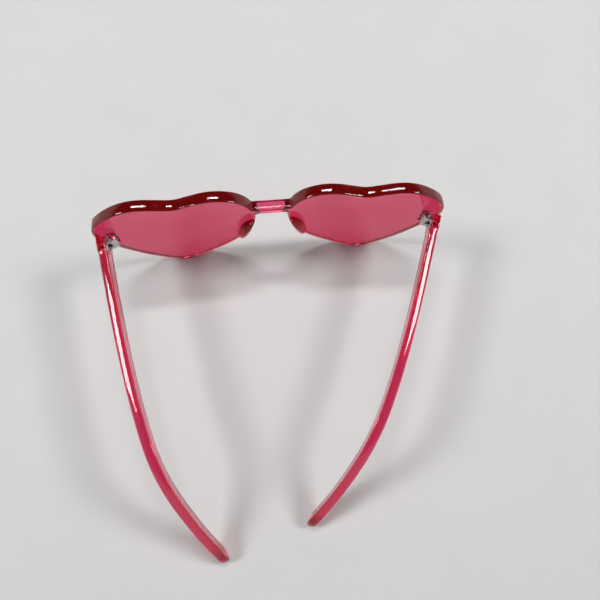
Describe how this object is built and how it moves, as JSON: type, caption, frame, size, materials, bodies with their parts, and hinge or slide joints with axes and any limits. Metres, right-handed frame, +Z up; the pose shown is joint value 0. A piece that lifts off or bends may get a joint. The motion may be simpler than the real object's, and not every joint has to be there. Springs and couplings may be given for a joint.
{
  "type": "sunglasses",
  "caption": "Rimless heart shaped sunglasses: one thick plate of clear pink plastic with nose pads, carrying bowed temples that fold on barrel hinges.",
  "frame": {"origin": "on the table, under the middle of the bounding box", "axes": "+X towards the wearer's left, -Y the way the wearer faces, +Z up"},
  "size_m": [0.15, 0.1454, 0.0545],
  "materials": {
    "clear_plastic": "clear pink polycarbonate with polished faces, deep red seen through its edges",
    "nickel_steel": "bright nickel plated steel, lightly worn"
  },
  "bodies": {
    "front": {"front_plate": "clear_plastic", "left_front_hinge": "nickel_steel", "right_front_hinge": "nickel_steel"},
    "left_temple": {"left_temple": "clear_plastic", "left_temple_hinge": "nickel_steel", "left_hinge_screw": "nickel_steel"},
    "right_temple": {"right_temple": "clear_plastic", "right_temple_hinge": "nickel_steel", "right_hinge_screw": "nickel_steel"}
  },
  "joints": [
    {"name": "left_temple_fold", "type": "hinge", "parent": "front", "child": "left_temple", "pos_m": [0.06809, -0.0625, 0.03466], "axis": [0, 0, 1], "range_deg": [0, 74]},
    {"name": "right_temple_fold", "type": "hinge", "parent": "front", "child": "right_temple", "pos_m": [-0.06809, -0.0625, 0.03466], "axis": [0, 0, -1], "range_deg": [-11.3, 50]}
  ]
}
